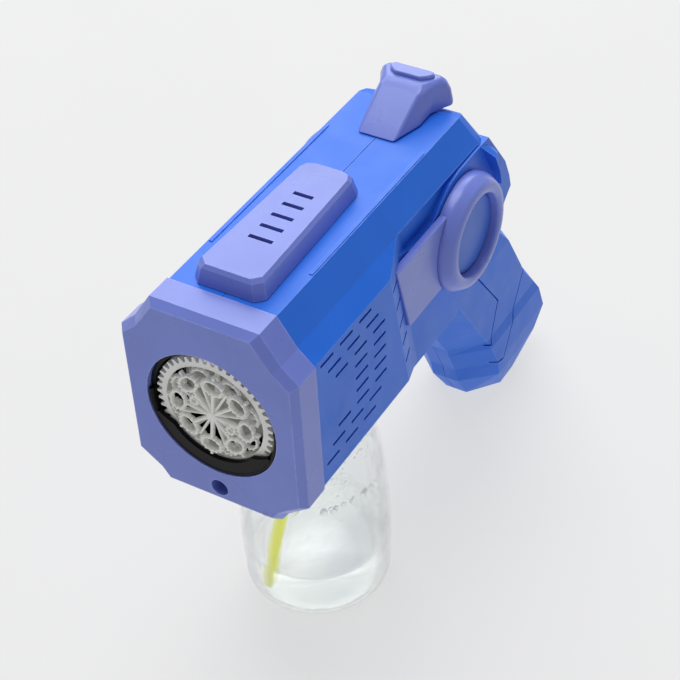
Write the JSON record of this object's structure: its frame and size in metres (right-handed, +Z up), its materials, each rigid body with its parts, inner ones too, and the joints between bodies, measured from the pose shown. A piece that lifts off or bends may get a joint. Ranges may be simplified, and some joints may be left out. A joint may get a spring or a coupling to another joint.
{
  "type": "bubble machine",
  "caption": "Hand-held battery bubble blaster with a geared bubble wand wheel, fan, hose pump, trigger, raked grip and screw-on solution bottle.",
  "frame": {"origin": "Middle of the bounding box in X and Y, on the plane that the bottle base and grip foot rest on", "axes": "+Y from the bubble outlet to the grip, +Z up, +X to the holder's left"},
  "size_m": [0.0728, 0.2294, 0.1876],
  "materials": {
    "blue_plastic": "semi-gloss moulded ABS",
    "lavender_plastic": "glossy moulded ABS",
    "white_plastic": "white moulded plastic",
    "black_plastic": "black moulded plastic",
    "clear_plastic": "clear blow-moulded PET",
    "yellow_hose": "soft translucent yellow tubing",
    "steel": "plated steel",
    "motor_steel": "plated can",
    "black_rubber": "moulded rubber",
    "cell_sleeve": "printed-free dark sleeve"
  },
  "bodies": {
    "body": {"air_duct": "white_plastic", "bezel_screw": "steel", "bottle_socket": "blue_plastic", "casing_left": "blue_plastic", "casing_right": "blue_plastic", "casing_screw_1": "steel", "casing_screw_2": "steel", "casing_screw_3": "steel", "casing_screw_4": "steel", "casing_screw_5": "steel", "cell_1": "cell_sleeve", "cell_2": "cell_sleeve", "cell_3": "cell_sleeve", "cell_4": "cell_sleeve", "contact_bottom": "motor_steel", "contact_top": "motor_steel", "dip_tube": "yellow_hose", "drip_cup": "black_plastic", "drive_motor": "motor_steel", "fan_housing": "black_plastic", "fan_motor": "motor_steel", "front_bezel": "lavender_plastic", "front_frame": "white_plastic", "gearbox": "white_plastic", "neck_seal": "black_rubber", "pump_housing": "black_plastic", "rear_sight": "lavender_plastic", "side_disc_left": "blue_plastic", "side_disc_right": "blue_plastic", "side_flag_left": "lavender_plastic", "side_flag_right": "lavender_plastic", "side_ring_left": "lavender_plastic", "side_ring_right": "lavender_plastic", "solution_hose": "yellow_hose", "top_cover": "lavender_plastic", "trigger_spring": "steel", "trigger_switch": "black_plastic"},
    "wand": {"wand_star": "white_plastic", "wand_gear": "white_plastic", "wand_axle": "steel"},
    "drive": {"drive_shaft": "steel", "drive_pinion": "white_plastic", "pump_pinion": "white_plastic", "pump_shaft": "steel"},
    "pump_wheel": {"pump_gear": "white_plastic", "pump_rotor": "white_plastic", "pump_axle": "steel"},
    "roller_1": {"pump_roller_1": "motor_steel"},
    "roller_2": {"pump_roller_2": "motor_steel"},
    "roller_3": {"pump_roller_3": "motor_steel"},
    "fan": {"fan_impeller": "white_plastic", "fan_shaft": "steel"},
    "trigger_blade": {"trigger": "lavender_plastic"},
    "door": {"battery_door": "blue_plastic"},
    "solution_bottle": {"bottle": "clear_plastic"}
  },
  "joints": [
    {"name": "wand_spin", "type": "hinge", "parent": "body", "child": "wand", "pos_m": [0, -0.1107, 0.1318], "axis": [0, 1, 0], "continuous": true},
    {"name": "drive_spin", "type": "hinge", "parent": "body", "child": "drive", "pos_m": [0, -0.1097, 0.1593], "axis": [0, 1, 0], "continuous": true},
    {"name": "pump_spin", "type": "hinge", "parent": "body", "child": "pump_wheel", "pos_m": [0, -0.0157, 0.1393], "axis": [0, 1, 0], "continuous": true},
    {"name": "roller_1_spin", "type": "hinge", "parent": "pump_wheel", "child": "roller_1", "pos_m": [0, -0.0069, 0.1483], "axis": [0, 1, 0], "continuous": true},
    {"name": "roller_2_spin", "type": "hinge", "parent": "pump_wheel", "child": "roller_2", "pos_m": [-0.00779, -0.0069, 0.1348], "axis": [0, 1, 0], "continuous": true},
    {"name": "roller_3_spin", "type": "hinge", "parent": "pump_wheel", "child": "roller_3", "pos_m": [0.00779, -0.0069, 0.1348], "axis": [0, 1, 0], "continuous": true},
    {"name": "fan_spin", "type": "hinge", "parent": "body", "child": "fan", "pos_m": [0, -0.0707, 0.1318], "axis": [0, 1, 0], "continuous": true},
    {"name": "trigger_pull", "type": "slide", "parent": "body", "child": "trigger_blade", "axis": [0, 1, 0], "range_m": [0, 0.0034], "stiffness_N_per_m": 400, "springref_m": -0.002, "deforming": ["trigger_spring"]},
    {"name": "door_swing", "type": "hinge", "parent": "body", "child": "door", "pos_m": [-0.0185, 0.07984, 0.03744], "axis": [0, -0.829, -0.5592], "range_deg": [0, 100]},
    {"name": "bottle_turn", "type": "hinge", "parent": "body", "child": "solution_bottle", "pos_m": [0, -0.0569, 0.05], "axis": [0, 0, 1], "range_deg": [0, 450]}
  ],
  "couplings": [
    {"joint": "drive_spin", "follows": "wand_spin", "ratio": -4.5},
    {"joint": "pump_spin", "follows": "wand_spin", "ratio": 1.5}
  ]
}
